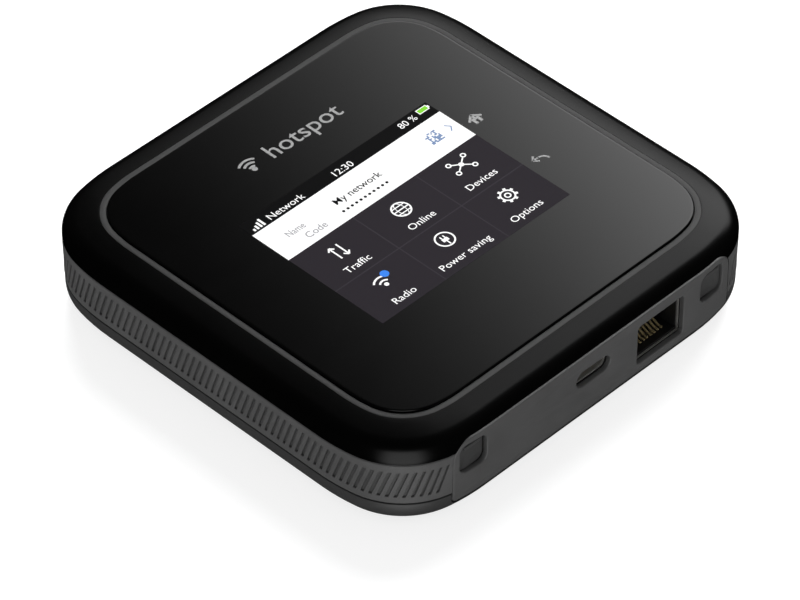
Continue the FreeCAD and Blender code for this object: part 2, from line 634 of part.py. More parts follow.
def reset_button():
    return join([post(RESET_X, RESET_Y, RESET_RADIUS, 6.7, 8.1), post(RESET_X, RESET_Y, 2.2, 8.1, 8.5)])


def reset_switch():
    tip = 8.5 + RESET_TRAVEL + 0.05
    body = block((RESET_X - 1.6, RESET_X + 1.6), (RESET_Y - 1.6, RESET_Y + 1.6), (tip + 0.3, BOARD_LOW))
    return join([post(RESET_X, RESET_Y, 0.8, tip, tip + 0.3), body])


# ---- antennas inside the wall -------------------------------------------------

def wall_antenna(low, high, box):
    """A printed strip that follows the inside of the chassis wall within a plan box."""
    inner = CHASSIS_INSET + CHASSIS_WALL
    strip = cut(slab(inner, low, high), slab(inner + 0.2, low - 1, high + 1))
    strip = strip.common(block(*box, (low, high)))
    slot = (low + high) / 2
    x, y = box
    middle = block((x[0] + 3, x[1] - 3), (y[0] + 3, y[1] - 3), (slot - 0.3, slot + 0.3))
    return cut(strip, middle)


# ---- the whole object ---------------------------------------------------------

keep("top_frame", top_frame())
keep("lens_trim", lens_trim())
keep("cover_lens", cover_lens())
keep("lens_adhesive", lens_adhesive())
keep("touch_sensor", touch_sensor())
keep("display_module", display_module())
keep("display_bracket", display_bracket())
keep("display_flex", display_flex())
keep("display_connector", block((-9, 5), (30.4, 33), (BOARD_HIGH, BOARD_HIGH + 1.0)))
keep("grip_band", grip_band())
keep("port_panel", port_panel())
keep("chassis", chassis())
keep("back_cover", back_cover())

keep("main_board", main_board())
keep("modem_chip", chip(-12, 12, 15, 15))
keep("processor_chip", chip(-12, -8, 12, 12))
keep("memory_chip", chip(-27, -8, 9, 11))
keep("wifi_chip", chip(20, 8, 11, 11))
keep("power_chip", chip(24, -22, 7, 7))
keep("modem_shield", shield(-18, 3, 36, 38))
keep("wifi_shield", shield(20, 6, 28, 28))
keep("modem_thermal_pad", plate(-18, 3, 24, 24, BOARD_HIGH + 2.6, SPREADER_LOW, 1.0))
keep("wifi_thermal_pad", plate(20, 6, 18, 18, BOARD_HIGH + 2.6, SPREADER_LOW, 1.0))
keep("heat_spreader", heat_spreader())

corners = [(x, y) for x in (-BOSS, BOSS) for y in (-BOSS, BOSS)]
keep("case_screws",
     screws(corners, 1.5, (FLOOR_LOW - 0.9, FLOOR_LOW), (FLOOR_LOW, 15.4), SCREW_RADIUS - 0.02))
keep("board_screws", screws(board_screw_places(), 1.2, (BOARD_HIGH, BOARD_HIGH + 0.7),
                            (FLOOR_LOW, BOARD_HIGH), 0.48))

keep("rj45_shell", rj45_shell())
keep("rj45_housing", rj45_housing())
keep("rj45_contacts", group([jack_wire(k) for k in range(8)]))
keep("usb_c_shell", usb_c_shell())
keep("usb_c_tongue", usb_c_tongue())
keep("usb_c_contacts", usb_c_contacts())

for side, place in (("right", lambda shape: shape), ("left", mirrored)):
    keep("antenna_socket_" + side, place(antenna_socket()))
    keep("antenna_insulator_" + side, place(antenna_insulator()))
    keep("antenna_pin_" + side, place(antenna_pin()))
    keep("antenna_cover_" + side, place(antenna_cover()))

keep("battery_pack", battery_pack())
keep("battery_pads", battery_pads())
keep("battery_connector", battery_connector())
keep("battery_contacts", battery_contacts())
keep("battery_foam", plate(0, -8, 50, 16, COVER_FLOOR, BATTERY_LOW - 0.1, 1.0))
keep("sim_socket", sim_socket())
keep("sim_card", sim_card())
keep("power_button", power_button())
keep("power_switch", power_switch())
keep("reset_button", reset_button())
keep("reset_switch", reset_switch())

keep("rear_antenna_left", wall_antenna(11.5, 15.2, ((-48, -12), (40, 50))))
keep("rear_antenna_right", wall_antenna(13.6, 15.2, ((30, 48), (40, 50))))
keep("side_antenna_left", wall_antenna(11.5, 15.2, ((-50, -40), (-20, 24))))
keep("side_antenna_right", wall_antenna(11.5, 15.2, ((40, 50), (-20, 24))))

os.makedirs("parts", exist_ok=True)
for name, shape in PARTS.items():
    shape.exportStep("parts/" + name + ".step")
    box = shape.BoundBox
    print("%-24s solids %d valid %s volume %8.1f  x %6.2f %6.2f  y %6.2f %6.2f  z %6.2f %6.2f" % (
        name, len(shape.Solids), shape.isValid(), shape.Volume,
        box.XMin, box.XMax, box.YMin, box.YMax, box.ZMin, box.ZMax))
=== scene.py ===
import json
import math
import random

import bmesh
import bpy
from mathutils import Matrix, Vector


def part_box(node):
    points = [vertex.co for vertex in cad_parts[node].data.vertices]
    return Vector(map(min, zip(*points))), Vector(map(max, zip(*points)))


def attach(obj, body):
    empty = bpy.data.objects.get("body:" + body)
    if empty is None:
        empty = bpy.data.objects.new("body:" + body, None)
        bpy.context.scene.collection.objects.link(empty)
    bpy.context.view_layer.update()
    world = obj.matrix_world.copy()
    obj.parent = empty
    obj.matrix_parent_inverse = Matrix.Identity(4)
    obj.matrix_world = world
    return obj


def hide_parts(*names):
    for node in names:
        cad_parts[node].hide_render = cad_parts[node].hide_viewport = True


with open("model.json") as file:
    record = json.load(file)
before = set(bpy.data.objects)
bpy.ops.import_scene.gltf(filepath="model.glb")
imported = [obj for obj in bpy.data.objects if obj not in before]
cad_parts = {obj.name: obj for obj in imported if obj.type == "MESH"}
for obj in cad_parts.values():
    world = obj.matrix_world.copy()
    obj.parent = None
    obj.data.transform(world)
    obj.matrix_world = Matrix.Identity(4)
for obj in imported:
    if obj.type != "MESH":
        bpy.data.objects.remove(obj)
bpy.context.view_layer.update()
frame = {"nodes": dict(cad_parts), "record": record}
mm = 0.001                                    # everything below is in millimetres until it is placed


def halfWidth(node):
    low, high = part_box(node)
    return (high / mm).x


# plans of the shells, and of the ring and lens: squares with corners that ease in on a soft radius
case = {"half": halfWidth("grip_band"), "soft": 45.0, "tight": 17.0, "ease": 11.0}
trim = {"half": halfWidth("lens_trim"), "soft": 30.7, "tight": 12.1, "ease": 11.0}


def heading(degrees):
    return Vector((math.cos(math.radians(degrees)), math.sin(math.radians(degrees)), 0))


def straightOf(plan):                         # length of the straight part of one side
    ease = math.radians(plan["ease"])
    corner = (plan["soft"] * (1 + math.sin(ease) - math.cos(ease))
              + plan["tight"] * (math.cos(ease) - math.sin(ease)))
    return 2 * (plan["half"] - corner)


def runs(plan):                               # anticlockwise: point, direction, length or radius, turn
    straight = straightOf(plan)
    easing = (plan["soft"], plan["ease"])
    arcs = [easing, (plan["tight"], 90 - 2 * plan["ease"]), easing]
    point = Vector((-straight / 2, -plan["half"], 0))
    angle = 0
    for side in range(4):
        yield point, angle, straight, 0
        point = point + heading(angle) * straight
        for radius, turn in arcs:
            yield point, angle, radius, turn
            centre = point + heading(angle + 90) * radius
            angle += turn
            point = centre - heading(angle + 90) * radius


def lengthOf(size, turn):                     # of a straight, or of an arc with that radius
    return size * math.radians(turn) if turn else size


def along(plan, s):                           # point and inward direction, s from the middle of the front
    s += straightOf(plan) / 2
    for point, angle, size, turn in runs(plan):
        if s <= lengthOf(size, turn):
            break
        s -= lengthOf(size, turn)
    if not turn:
        return point + heading(angle) * s, heading(angle + 90)
    inward = heading(angle + 90 + math.degrees(s / size))
    return point + heading(angle + 90) * size - inward * size, inward


def roundLength(plan):
    return sum(lengthOf(size, turn) for point, angle, size, turn in runs(plan))


# sections carried round a plan, boxes and cuts
upended = Matrix(((0, 1, 0, 0), (1, 0, 0, 0), (0, 0, 1, 0), (0, 0, 0, 1)))     # a section's X becomes Y


def layout(bm, steps, openEnds=False):        # corners as (inset, z) or (inset, z, rounding, segments)
    corners = [bm.verts.new((step[0], 0, step[1])) for step in steps]
    closing = bm.edges.new((corners[-1], corners[0]))
    bm.faces.new(corners)
    for corner, step in zip(corners, steps):
        if len(step) > 2:
            bmesh.ops.bevel(bm, geom=[corner], offset=step[2], offset_type="OFFSET", segments=step[3],
                            profile=0.5, affect="VERTICES", material=-1, clamp_overlap=False)
    bmesh.ops.delete(bm, geom=bm.faces[:], context="FACES_ONLY")
    if openEnds:
        bmesh.ops.delete(bm, geom=[closing], context="EDGES")
    return bm.edges[:]


def carry(steps, plan, openEnds=False, fine=3.0):          # the section carried once round a plan
    bm = bmesh.new()
    edges = layout(bm, steps, openEnds)
    start = next(runs(plan))[0]
    bmesh.ops.transform(bm, matrix=Matrix.Translation(start) @ upended, verts=bm.verts[:])
    for point, angle, size, turn in runs(plan):
        if turn:
            ends = list(dict.fromkeys(v for e in edges for v in e.verts))
            centre = point + heading(angle + 90) * size
            made = bmesh.ops.spin(bm, geom=edges + ends, cent=centre, axis=(0, 0, 1),
                                  angle=math.radians(turn), steps=max(2, round(turn / fine)))["geom_last"]
        else:
            made = bmesh.ops.extrude_edge_only(bm, edges=edges)["geom"]
            moved = [g for g in made if isinstance(g, bmesh.types.BMVert)]
            bmesh.ops.translate(bm, verts=moved, vec=heading(angle) * size)
        edges = [g for g in made if isinstance(g, bmesh.types.BMEdge)]
        if not turn:
            edges = [e for e in edges if all(v in moved for v in e.verts)]
    bmesh.ops.remove_doubles(bm, verts=bm.verts[:], dist=0.002)
    if openEnds:
        bmesh.ops.holes_fill(bm, edges=[e for e in bm.edges if e.is_boundary], sides=0)
    bmesh.ops.recalc_face_normals(bm, faces=bm.faces[:])
    return bm


def brick(bm, x, y, z, rounding=0.0, axis=None, segments=4):   # a box rounded all over, or along one axis
    made = bmesh.ops.create_cube(bm, size=1.0)["verts"]
    size = Vector((x[1] - x[0], y[1] - y[0], z[1] - z[0]))
    middle = Vector((x[1] + x[0], y[1] + y[0], z[1] + z[0])) / 2
    bmesh.ops.transform(bm, matrix=Matrix.Translation(middle) @ Matrix.Diagonal((*size, 1)), verts=made)
    if rounding:
        edges = list(dict.fromkeys(e for v in made for e in v.link_edges))
        if axis is not None:
            edges = [e for e in edges if abs((e.verts[0].co - e.verts[1].co)[axis]) > 1e-4]
        made = bmesh.ops.bevel(bm, geom=edges, offset=rounding, offset_type="OFFSET", segments=segments,
                               profile=0.5, affect="EDGES", material=-1)["verts"]
    return made


def asObject(bm, name):
    mesh = bpy.data.meshes.new(name)
    bm.to_mesh(mesh)
    bm.free()
    thing = bpy.data.objects.new(name, mesh)
    bpy.context.scene.collection.objects.link(thing)
    return thing


def finished(thing, name):                    # the thing with its modifiers made real, as a fresh mesh
    bpy.context.view_layer.update()
    mesh = bpy.data.meshes.new_from_object(thing.evaluated_get(bpy.context.evaluated_depsgraph_get()))
    mesh.transform(thing.matrix_world)
    bpy.data.objects.remove(thing)
    mesh.name = name
    fresh = bpy.data.objects.new(name, mesh)
    bpy.context.scene.collection.objects.link(fresh)
    return fresh


def carve(thing, cutters, operation="DIFFERENCE"):
    for cutter in cutters:
        tool = thing.modifiers.new("carve", "BOOLEAN")
        tool.object, tool.operation, tool.solver = cutter, operation, "EXACT"
    return finished(thing, thing.name)


def place(thing, body, finish, slot, *nodes, sharp=32):
    thing.data.transform(Matrix.Scale(mm, 4))
    thing.data.materials.clear()
    thing.data.materials.append(finish)
    thing.data.shade_smooth()
    thing.data.set_sharp_from_angle(angle=math.radians(sharp))
    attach(thing, body)
    if nodes:
        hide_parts(*nodes)
    return thing


# what the parts are made of

class Signal:                                 # a shader socket that can be calculated with
    def __init__(self, finish, socket):
        self.finish, self.socket = finish, socket

    def math(self, operation, a, b):
        return self.finish.node("ShaderNodeMath", {"operation": operation}, {0: a, 1: b})

    def __add__(self, other):
        return self.math("ADD", self, other)

    def __radd__(self, other):
        return self.math("ADD", other, self)

    def __mul__(self, other):
        return self.math("MULTIPLY", self, other)

    def __rmul__(self, other):
        return self.math("MULTIPLY", other, self)

    def __pow__(self, other):
        return self.math("POWER", self, other)


class Finish:
    def __init__(self, name, **settings):
        self.material = bpy.data.materials.new(name)
        self.material.use_nodes = True
        self.tree = self.material.node_tree
        self.shader = self.tree.nodes["Principled BSDF"]
        for socket, value in settings.items():
            self.shader.inputs[socket.replace("_", " ")].default_value = value

    def node(self, kind, settings, inputs, output=0):
        made = self.tree.nodes.new(kind)
        for key, value in settings.items():
            setattr(made, key, value)
        for key, value in inputs.items():
            if isinstance(value, Signal):
                self.tree.links.new(value.socket, made.inputs[key])
            else:
                made.inputs[key].default_value = value
        return Signal(self, made.outputs[output])

    def spread(self, stretch=(1, 1, 1)):      # where on the piece, stretched along its axes
        spot = self.node("ShaderNodeTexCoord", {}, {}, "Object")
        return self.node("ShaderNodeMapping", {}, {"Vector": spot, "Scale": stretch})

    def noise(self, size, detail=2.0, stretch=(1, 1, 1), rough=0.5):      # size of the grain in millimetres
        return self.node("ShaderNodeTexNoise", {}, {"Vector": self.spread(stretch), "Scale": 1 / (size * mm),
                                                    "Detail": detail, "Roughness": rough})

    def mix(self, factor, low, high):
        return self.node("ShaderNodeMix", {"data_type": "RGBA"}, {0: factor, 6: low, 7: high}, 2)

    def feed(self, socket, signal):
        self.tree.links.new(signal.socket, self.shader.inputs[socket])

    def bump(self, height, deep):             # deep in millimetres
        self.feed("Normal", self.node("ShaderNodeBump", {}, {"Height": height, "Distance": deep * mm}))


def grey(level):                              # a neutral colour
    return (level, level, level, 1.0)


def coating():                                # soft black paint of the top frame
    look = {"base": 0.001, "roughness": 0.26, "grain": 0.12, "deep": 0.0008}
    finish = Finish("softBlackCoating", Specular_IOR_Level=0.26)
    handling = finish.noise(24, 3)
    finish.feed("Base Color", finish.mix(handling, grey(look["base"] * 0.7), grey(look["base"] * 1.4)))
    finish.feed("Roughness", look["roughness"] - 0.03 + 0.06 * handling)
    finish.bump(finish.noise(look["grain"], 1), look["deep"])
    return finish.material


def moulded(name, base, roughness, grain, deep):           # plastic with a spark-eroded grain
    finish = Finish(name, Specular_IOR_Level=0.5)
    clouds = finish.noise(9, 3)
    fine = finish.noise(grain, 2, rough=0.65)
    finish.feed("Base Color", finish.mix(clouds, grey(base * 0.82), grey(base * 1.2)))
    finish.feed("Roughness", roughness - 0.05 + 0.06 * clouds + 0.05 * fine)
    finish.bump(fine, deep)
    return finish.material


def glass():                                  # lens over a black printed border
    look = {"base": 0.001, "roughness": 0.045}
    finish = Finish("blackLensGlass", Specular_IOR_Level=0.5)
    smear = finish.noise(16, 4, stretch=(1, 2.2, 1))
    finish.feed("Base Color", finish.mix(smear, grey(look["base"] * 0.8), grey(look["base"] * 1.3)))
    finish.feed("Roughness", look["roughness"] + 0.03 * smear ** 2.0)
    return finish.material


def ringMetal():
    look = {"base": 0.02, "roughness": 0.42}
    finish = Finish("satinRing", Specular_IOR_Level=0.35)
    fine = finish.noise(0.09, 2)
    clouds = finish.noise(6, 2)
    finish.feed("Base Color", finish.mix(clouds, grey(look["base"] * 0.9), grey(look["base"] * 1.1)))
    finish.feed("Roughness", look["roughness"] + 0.08 * fine)
    finish.bump(fine, 0.002)
    return finish.material


def sheetMetal(name, colour, roughness, scratch=0.25):
    finish = Finish(name, Metallic=0.75)
    rolled = finish.noise(scratch, 3, stretch=(1, 14, 1))
    finish.feed("Base Color", finish.mix(rolled, tuple(c * 0.8 for c in colour[:3]) + (1,), colour))
    finish.feed("Roughness", roughness - 0.06 + 0.14 * rolled)
    finish.bump(rolled, 0.002)
    return finish.material


def rubber(name, base):
    finish = Finish(name, Roughness=0.62, Specular_IOR_Level=0.5)
    fine = finish.noise(0.16, 3, rough=0.7)
    finish.feed("Base Color", finish.mix(finish.noise(3, 2), grey(base * 0.85), grey(base * 1.15)))
    finish.bump(fine, 0.006)
    return finish.material


def circuitBoard():
    finish = Finish("solderMask", Specular_IOR_Level=0.5)
    brickwork = finish.node("ShaderNodeTexBrick", {}, {
        "Vector": finish.spread(), "Color1": (1, 1, 1, 1), "Color2": (0.6, 0.6, 0.6, 1),
        "Mortar": (0, 0, 0, 1), "Scale": 1.0, "Brick Width": 2.3 * mm, "Row Height": 0.8 * mm,
        "Mortar Size": 0.12 * mm})
    wander = finish.noise(1.1, 4)
    mask = finish.mix(wander, (0.004, 0.05, 0.024, 1), (0.01, 0.1, 0.05, 1))
    finish.feed("Base Color", finish.mix(brickwork * 0.6, (0.02, 0.16, 0.08, 1), mask))
    finish.feed("Roughness", 0.3 + 0.15 * wander)
    finish.bump(brickwork, 0.01)
    return finish.material


def lit(name, colour, strength):              # part of the lit picture
    finish = Finish(name, Roughness=0.5, Specular_IOR_Level=0.1, Emission_Strength=strength)
    weave = finish.node("ShaderNodeTexChecker", {}, {"Vector": finish.spread(), "Scale": 1 / (0.1 * mm)}, 1)
    finish.feed("Emission Color", finish.mix(weave, colour, tuple(c * 0.97 for c in colour[:3]) + (1,)))
    finish.shader.inputs["Base Color"].default_value = tuple(c * 0.1 for c in colour[:3]) + (1,)
    return finish.material


def printed(name, base):
    finish = Finish(name, Roughness=0.35, Specular_IOR_Level=0.4)
    finish.feed("Base Color", finish.mix(finish.noise(0.3, 2), grey(base * 0.9), grey(base * 1.1)))
    return finish.material


finishes = {
    "frame_coating": coating(),
    "trim_metal": ringMetal(),
    "lens_glass": glass(),
    "grip_plastic": moulded("gripPlastic", 0.086, 0.46, 0.13, 0.006),
    "panel_plastic": moulded("panelPlastic", 0.082, 0.4, 0.1, 0.003),
    "chassis_plastic": moulded("chassisPlastic", 0.02, 0.55, 0.25, 0.01),
    "cover_plastic": moulded("coverPlastic", 0.045, 0.44, 0.15, 0.006),
    "connector_plastic": moulded("connectorPlastic", 0.008, 0.5, 0.2, 0.004),
    "chip_resin": moulded("chipResin", 0.02, 0.6, 0.1, 0.004),
    "card_plastic": moulded("cardPlastic", 0.7, 0.4, 0.3, 0.002),
    "insulator": moulded("whiteInsulator", 0.6, 0.4, 0.3, 0.002),
    "battery_film": moulded("batteryWrap", 0.03, 0.28, 1.2, 0.01),
    "sensor_film": moulded("sensorFilm", 0.02, 0.15, 1.0, 0.001),
    "display_glass": moulded("displayGlass", 0.02, 0.12, 1.0, 0.001),
    "pressed_steel": sheetMetal("pressedSteel", (0.5, 0.5, 0.51, 1), 0.4),
    "tinned_steel": sheetMetal("tinnedSteel", (0.62, 0.61, 0.58, 1), 0.3),
    "spreader_metal": sheetMetal("rolledAluminium", (0.7, 0.7, 0.71, 1), 0.35),
    "screw_steel": sheetMetal("zincedSteel", (0.42, 0.42, 0.44, 1), 0.35, 0.1),
    "socket_metal": sheetMetal("platedBrass", (0.75, 0.6, 0.32, 1), 0.28, 0.1),
    "gold": sheetMetal("goldPlate", (1.0, 0.8, 0.42, 1), 0.22, 0.1),
    "antenna_film": sheetMetal("printedCopper", (0.7, 0.38, 0.2, 1), 0.35),
    "flex_film": moulded("amberFilm", 0.1, 0.3, 1.0, 0.002),
    "adhesive": rubber("blackAdhesive", 0.02),
    "thermal_pad": rubber("thermalPad", 0.3),
    "foam": rubber("closedCellFoam", 0.04),
    "cap_rubber": rubber("plugRubber", 0.05),
    "circuit_board": circuitBoard(),
}
slots = {row["node"]: row["material_slot"] for row in frame["record"]["subparts"]}
for name, node in frame["nodes"].items():
    node.data.materials.clear()
    node.data.materials.append(finishes[slots[name]])
print("finishes made,", len(finishes))

# camera, floor and light
view = {"azimuth": -45.459, "elevation": 42.667, "distance": 971.9, "lookAt": (-10.277, -9.978, 10.0),
        "lens": 224.22}
turn, lift = math.radians(view["azimuth"]), math.radians(view["elevation"])
backward = Vector((math.sin(turn) * math.cos(lift), -math.cos(turn) * math.cos(lift), math.sin(lift)))
camera = bpy.data.objects.new("camera", bpy.data.cameras.new("camera"))
camera.data.lens, camera.data.sensor_width = view["lens"], 36
camera.data.clip_start, camera.data.clip_end = 0.05, 60
camera.location = (Vector(view["lookAt"]) + backward * view["distance"]) * mm
camera.rotation_mode = "QUATERNION"
camera.rotation_quaternion = (-backward).to_track_quat("-Z", "Y")
bpy.context.scene.collection.objects.link(camera)
bpy.context.scene.camera = camera
bpy.context.scene.view_settings.view_transform = "Standard"

studio = {"sky": 0.5, "floorGlow": 0.79, "floorGrey": 0.3, "floorReach": 12000}
world = bpy.data.worlds.new("paleSky")
world.use_nodes = True
world.node_tree.nodes["Background"].inputs["Color"].default_value = (1, 1, 1, 1)
world.node_tree.nodes["Background"].inputs["Strength"].default_value = studio["sky"]
bpy.context.scene.world = world
world.cycles_visibility.glossy = False

floorMesh = bmesh.new()
bmesh.ops.create_grid(floorMesh, x_segments=1, y_segments=1, size=studio["floorReach"])
floor = asObject(floorMesh, "floor")
floor.data.transform(Matrix.Scale(mm, 4))
floorFinish = Finish("paleFloor", Roughness=0.6, Specular_IOR_Level=0.2)
floorFinish.shader.inputs["Emission Strength"].default_value = studio["floorGlow"]
floorFinish.shader.inputs["Base Color"].default_value = grey(studio["floorGrey"])
floorFinish.shader.inputs["Emission Color"].default_value = (1, 1, 1, 1)
floor.data.materials.append(floorFinish.material)
floor.visible_glossy = False                  # the shoulder mirrors the dark of the studio, not the floor
floor.location.z = -0.1 * mm                  # just clear of the cover that stands on it


def softbox(name, toward, light):             # a glowing sheet facing the router, faint at its left edge
    wide, high, edge = light["wide"], light["high"], light["edge"]
    bm = bmesh.new()
    bmesh.ops.create_grid(bm, x_segments=1, y_segments=1, size=0.5)
    bmesh.ops.scale(bm, vec=(wide * mm, high * mm, 1), verts=bm.verts[:])
    sheet = asObject(bm, name)
    finish = Finish(name)
    spot = finish.node("ShaderNodeTexCoord", {}, {}, "Object")
    across = finish.node("ShaderNodeSeparateXYZ", {}, {"Vector": spot}, 0)
    upward = finish.node("ShaderNodeSeparateXYZ", {}, {"Vector": spot}, 1)
    lean = math.radians(light["tilt"])
    level = (across + light["shift"] * mm) * math.sin(lean) + upward * math.cos(lean)

    def fade(value, low, full):               # nothing at low, everything at full
        span = {"From Min": low * mm, "From Max": full * mm}
        return finish.node("ShaderNodeMapRange", {}, {"Value": value, **span})

    left = fade(across, -wide / 2, edge - wide / 2)
    right = fade(across * -1, -wide / 2, edge - wide / 2)
    under = fade(level, *light["foot"])
    over = fade(upward * -1, -high / 2, -0.4 * high)
    glow = left ** light["power"] * right * under * over * light["strength"]
    shining = finish.node("ShaderNodeEmission", {}, {"Strength": glow})
    finish.tree.links.new(shining.socket, finish.tree.nodes["Material Output"].inputs["Surface"])
    sheet.data.materials.append(finish.material)
    direction = Vector(toward).normalized()
    sheet.rotation_mode = "QUATERNION"
    leaning = Matrix.Rotation(lean, 3, "Z").to_quaternion()
    sheet.rotation_quaternion = (-direction).to_track_quat("Z", "Y") @ leaning
    aside = sheet.rotation_quaternion @ Vector((light["shift"], 0, 0))
    sheet.location = (direction * light["distance"] + aside) * mm
    sheet.visible_camera = sheet.visible_diffuse = sheet.visible_shadow = False
    return sheet


# the lens mirrors what stands beyond its far corner, so the key light is there and grows to the right
mirrored = Vector((-backward.x, -backward.y, backward.z))
keyLight = {"distance": 1000, "wide": 1500, "high": 1300, "strength": 2.35, "edge": 225, "power": 3.0,
            "tilt": -38, "shift": 624, "foot": (-420, -150)}
keyFill = {"wide": 900, "power": 34.0, "shift": 200}       # the same light for what is not glossy
frontCard = {"distance": 1200, "wide": 1250, "high": 1900, "strength": 1.7, "edge": 300, "power": 1.0,
             "tilt": 0, "shift": 0, "foot": (-950, -760)}
key = softbox("keyLight", mirrored, keyLight)
fill = bpy.data.objects.new("keyFill", bpy.data.lights.new("keyFill", "AREA"))
fill.data.shape, fill.data.size = "DISK", keyFill["wide"] * mm
fill.data.energy = keyFill["power"]
fill.rotation_mode = "QUATERNION"
fill.rotation_quaternion = mirrored.to_track_quat("Z", "Y")
aside = key.rotation_quaternion @ Vector((keyFill["shift"], 0, 0))
fill.location = (mirrored * keyLight["distance"] + aside) * mm
fill.visible_glossy = False
bpy.context.scene.collection.objects.link(fill)
softbox("frontCard", (-0.69, -0.69, -0.12), frontCard)
print("camera and light set")

# the outside of the case
shell = {"foot": 16.02, "wall": 1.4, "shoulderCorner": 19.79, "shoulderCut": 3.364, "shelf": 18.7,
         "shelfInset": 12.5, "ringInset": 6.95, "ringTop": 21.0, "ringThick": 0.7, "ringWide": 1.35,
         "ringRound": 0.1, "wellFloor": 19.9, "lensGap": 0.2, "lensLow": 20.1, "lensTop": 21.44,
         "lensRound": 0.14}


def disc(inset, low, high, plan):             # a solid slab of a plan, for cutting
    return carry([(inset + 8, low), (inset, low), (inset, high), (inset + 8, high)], plan, True)


def topFrame():                               # bezel sloping up to the ring, over a rounded shoulder
    foot, wall, shelf, top = shell["foot"], shell["wall"], shell["shelf"], shell["ringTop"]
    body = asObject(carry([
        (0, foot), (0, shell["shoulderCorner"], shell["shoulderCut"], 14), (shell["ringInset"], top),
        (shell["shelfInset"], top), (shell["shelfInset"], shelf), (wall + 1.8, shelf), (wall, shelf - 1.8),
        (wall, foot)], case, fine=2.2), "topFrame")
    nest = asObject(disc(0.0, top - shell["ringThick"], 22, trim), "nest")
    well = asObject(disc(shell["ringWide"], shell["wellFloor"], 22.5, trim), "well")
    notch = panelPlate(grow=0.1, front=-1.0, thick=2.4, name="frameNotch")
    return carve(body, [nest, well, notch])


def ring():
    high, low, wide = shell["ringTop"], shell["ringTop"] - shell["ringThick"], shell["ringWide"]
    soft = shell["ringRound"]
    steps = [(0.02, low), (0.02, high, soft, 3), (wide, high, soft, 3), (wide, low)]
    return asObject(carry(steps, trim), "ring")


def lens():
    edge, low, top = shell["ringWide"] + shell["lensGap"], shell["lensLow"], shell["lensTop"]
    steps = [(edge + 3, low), (edge, low), (edge, top, shell["lensRound"], 4), (edge + 0.45, top),
             (edge + 3, top)]
    return asObject(carry(steps, trim, True), "lens")


panel = {"left": -38.3, "right": 39.2, "low": 2.6, "high": 18.1, "topRound": 4.5, "lowRound": 1.6,
         "thick": 1.3, "bend": 5.8, "footRadius": 8.0, "softened": 0.3}
sockets = {                                   # x, z, width, height and rounding of each opening in the panel
    "jack": (18.55, 10.55, 13.2, 9.9, 0.9), "usb": (-0.6, 12.43, 9.5, 3.8, 1.89),
    "antennaLeft": (-33.4, 13.1, 6.8, 7.0, 1.8), "antennaRight": (33.4, 13.1, 6.8, 7.0, 1.8)}


def roundedLoop(x0, x1, z0, z1, low, high, steps=7):       # points round a rectangle with rounded corners
    points = []
    corners = ((x1, z0, low, -90), (x1, z1, high, 0), (x0, z1, high, 90), (x0, z0, low, 180))
    for cx, cz, radius, start in corners:
        across = math.copysign(radius, cx - (x0 + x1) / 2)
        upward = math.copysign(radius, cz - (z0 + z1) / 2)
        middle = Vector((cx - across, cz - upward, 0))
        points += [middle + heading(start + 90 * step / steps) * radius for step in range(steps + 1)]
    return points


def plate(loops, low, high, softened=0.0, name="plate"):    # a flat plate with holes, its edges softened
    curve = bpy.data.curves.new(name, "CURVE")
    curve.dimensions, curve.fill_mode = "2D", "BOTH"
    curve.extrude = (high - low) / 2 - softened
    curve.bevel_depth, curve.bevel_resolution, curve.offset = softened, 2, -softened
    for points in loops:
        line = curve.splines.new("POLY")
        line.points.add(len(points) - 1)
        for spot, point in zip(line.points, points):
            spot.co = (point.x, point.y, 0, 1)
        line.use_cyclic_u = True
    thing = bpy.data.objects.new(name, curve)
    bpy.context.scene.collection.objects.link(thing)
    thing.location.z = (low + high) / 2
    thing = finished(thing, name)
    bm = bmesh.new()
    bm.from_mesh(thing.data)
    bpy.data.objects.remove(thing)
    bmesh.ops.remove_doubles(bm, verts=bm.verts[:], dist=0.001)
    bmesh.ops.recalc_face_normals(bm, faces=bm.faces[:])
    return bm


def bent(bm):                                 # the flat plate follows the plan and curls in at its foot
    reach = straightOf(case) / 2
    cuts = [((side * (reach + step), 0, 0), (1, 0, 0)) for side in (-1, 1) for step in range(10)]
    cuts += [((0, 0, panel["bend"] - 0.4 * step), (0, 0, 1)) for step in range(9)]
    for spot, way in cuts:
        bmesh.ops.bisect_plane(bm, geom=bm.verts[:] + bm.edges[:] + bm.faces[:], dist=1e-4,
                               plane_co=spot, plane_no=way)
    for v in bm.verts:
        past = max(0, abs(v.co.x) - reach)
        v.co.y += case["soft"] - math.sqrt(case["soft"] ** 2 - past ** 2)
        drop = min(max(0, panel["bend"] - v.co.z), panel["footRadius"] - 0.5)
        v.co.y += panel["footRadius"] - math.sqrt(panel["footRadius"] ** 2 - drop ** 2)


def upright(bm, face):                        # plate drawn in X and Y stands up as a front at y = face
    bmesh.ops.rotate(bm, verts=bm.verts[:], cent=(0, 0, 0), matrix=Matrix.Rotation(math.radians(90), 3, "X"))
    bmesh.ops.translate(bm, verts=bm.verts[:], vec=(0, face, 0))


def panelLoop(grow=0.0):
    return roundedLoop(panel["left"] - grow, panel["right"] + grow, panel["low"] - grow,
                       panel["high"] + grow, panel["lowRound"] + grow, panel["topRound"] + grow, 10)


def panelPlate(grow, front, thick, name):
    bm = plate([panelLoop(grow)], -thick, 0, 0, name)
    upright(bm, -case["half"] + front)
    bent(bm)
    return asObject(bm, name)


def portPanel():
    loops = [panelLoop()]
    for x, z, wide, high, rounding in sockets.values():
        loops.append(roundedLoop(x - wide / 2, x + wide / 2, z - high / 2, z + high / 2, rounding, rounding))
    bm = plate(loops, -panel["thick"], 0, panel["softened"], "portPanel")
    upright(bm, -case["half"])
    bent(bm)
    return asObject(bm, "portPanel")


